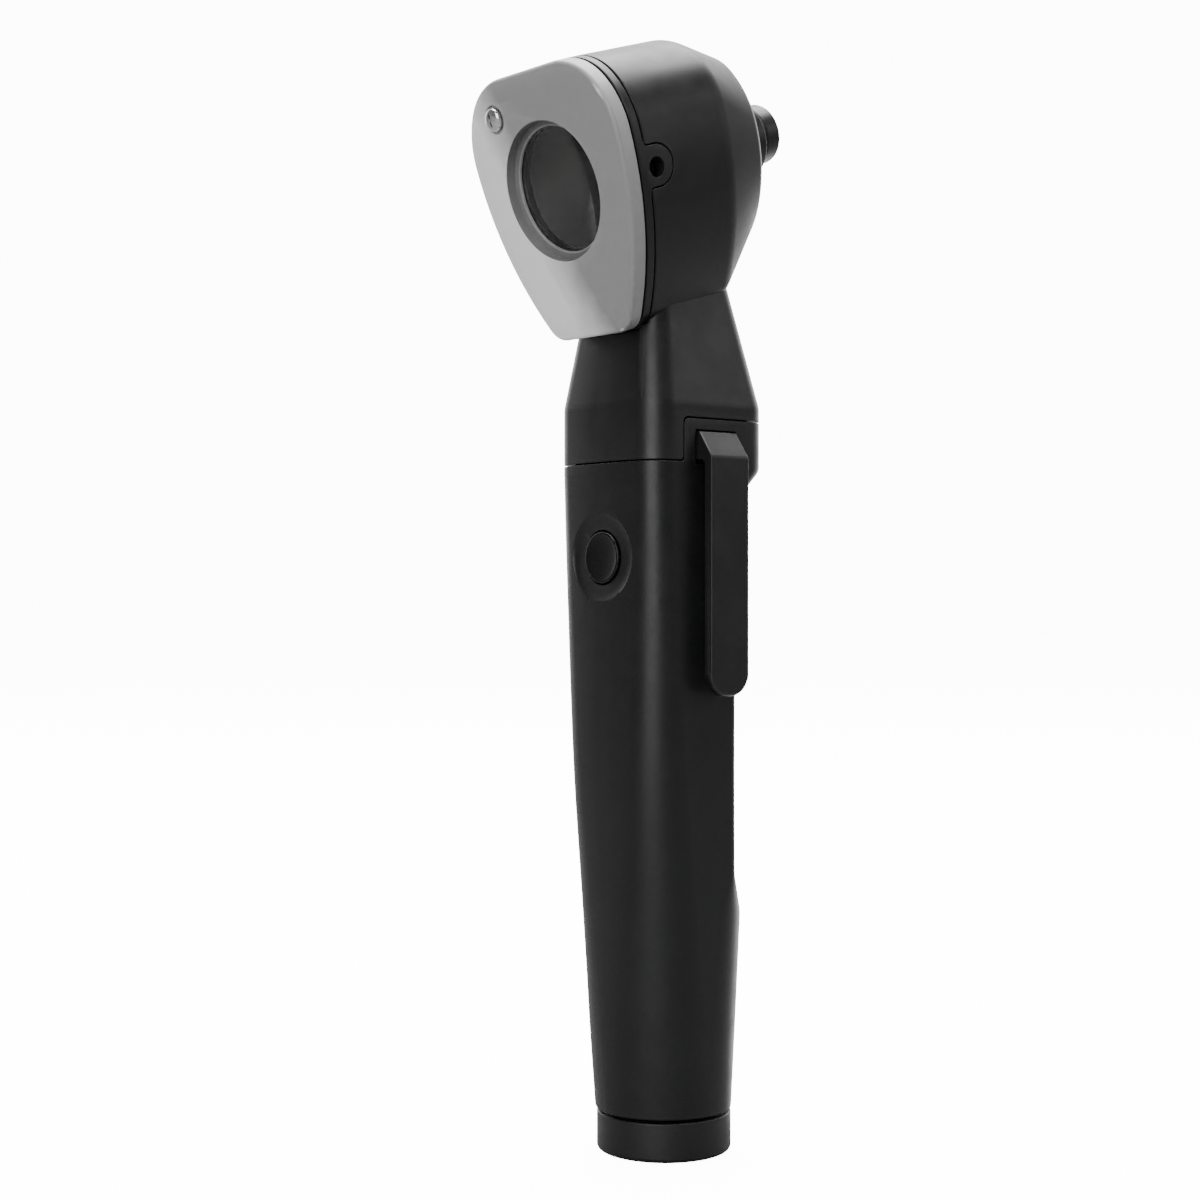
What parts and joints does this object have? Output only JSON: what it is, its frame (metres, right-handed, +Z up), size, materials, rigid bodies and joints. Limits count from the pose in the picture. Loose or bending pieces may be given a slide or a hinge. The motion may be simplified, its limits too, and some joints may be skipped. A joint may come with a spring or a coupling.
{
  "type": "otoscope",
  "caption": "Slim black battery otoscope: tilted head with a frosted swing-away magnifier, insufflation port and ear-tip stub, thumb button, pocket clip and screw cap.",
  "frame": {"origin": "centre of the flat bottom face of the battery cap, on the handle axis", "axes": "+Z up along the handle to the head; +X the way the ear-tip stub points; -X the user side, with the magnifier and the button; -Y the side with the pocket clip"},
  "size_m": [0.053, 0.0372, 0.1815],
  "materials": {
    "black_plastic": "fine moulded grain, matte",
    "button_plastic": "smooth, slightly glossy",
    "frosted_plastic": "translucent grey, frosted",
    "clear_lens": "polished lens",
    "clear_guide": "clear acrylic light guide",
    "inner_plastic": "matte black",
    "seal_rubber": "matte black seal rubber",
    "chrome_screw": "bright nickel plate",
    "bright_steel": "zinc plated",
    "spring_steel": "nickel plated spring steel",
    "brass": "turned",
    "bare_aluminium": "machined",
    "green_board": "solder-masked glass fibre",
    "led_yellow": "phosphor under clear resin",
    "chip_black": "moulded epoxy",
    "capacitor_tan": "ceramic",
    "red_insulation": "wire insulation",
    "black_insulation": "wire insulation",
    "battery_jacket": null
  },
  "bodies": {
    "housing": {"battery_lower": "battery_jacket", "battery_tube": "inner_plastic", "battery_upper": "battery_jacket", "bezel_screw_1": "bright_steel", "bezel_screw_2": "bright_steel", "bezel_screw_3": "bright_steel", "capacitor": "capacitor_tan", "circuit_board": "green_board", "contact_strip": "spring_steel", "driver_chip": "chip_black", "handle_shell": "black_plastic", "head_shell": "black_plastic", "heat_sink": "bare_aluminium", "inductor": "chip_black", "led_board": "green_board", "led_emitter": "led_yellow", "led_holder": "inner_plastic", "led_wire_negative": "black_insulation", "led_wire_positive": "red_insulation", "light_guide": "clear_guide", "light_ring": "clear_guide", "neck_sleeve": "inner_plastic", "pivot_insert": "brass", "pivot_screw": "chrome_screw", "pivot_washer": "bright_steel", "port_tube": "seal_rubber", "positive_contact": "brass", "rear_bezel": "black_plastic", "specula_holder": "black_plastic", "tact_switch": "bright_steel", "thread_insert": "brass", "viewing_cone": "inner_plastic", "window_gasket": "seal_rubber"},
    "magnifier": {"lens_frame": "frosted_plastic", "magnifier_lens": "clear_lens"},
    "button": {"button_cap": "button_plastic", "switch_plunger": "inner_plastic"},
    "clip": {"pocket_clip": "black_plastic"},
    "cap_slide": {"cap_spring": "spring_steel"},
    "cap": {"battery_cap": "black_plastic", "cap_oring": "seal_rubber", "cap_contact_plate": "spring_steel"}
  },
  "joints": [
    {"name": "lens_swivel", "type": "hinge", "parent": "housing", "child": "magnifier", "pos_m": [-0.02783, 0.0098, 0.16881], "axis": [-0.9455, 0, -0.3256], "range_deg": [0, 120]},
    {"name": "button_press", "type": "slide", "parent": "housing", "child": "button", "axis": [1, 0, 0], "range_m": [0, 0.0005], "stiffness_N_per_m": 2500, "springref_m": -0.0002},
    {"name": "clip_flex", "type": "hinge", "parent": "housing", "child": "clip", "pos_m": [0, -0.0124, 0.1158], "axis": [-1, 0, 0], "range_deg": [0, 4.5], "stiffness_Nm_per_rad": 5.5},
    {"name": "cap_travel", "type": "slide", "parent": "housing", "child": "cap_slide", "axis": [0, 0, -1], "range_m": [0, 0.006]},
    {"name": "cap_turn", "type": "hinge", "parent": "cap_slide", "child": "cap", "pos_m": [0, 0, 0], "axis": [0, 0, -1], "range_deg": [0, 1440]}
  ],
  "couplings": [
    {"joint": "cap_turn", "follows": "cap_travel", "rad_per_m": 4188.7}
  ]
}
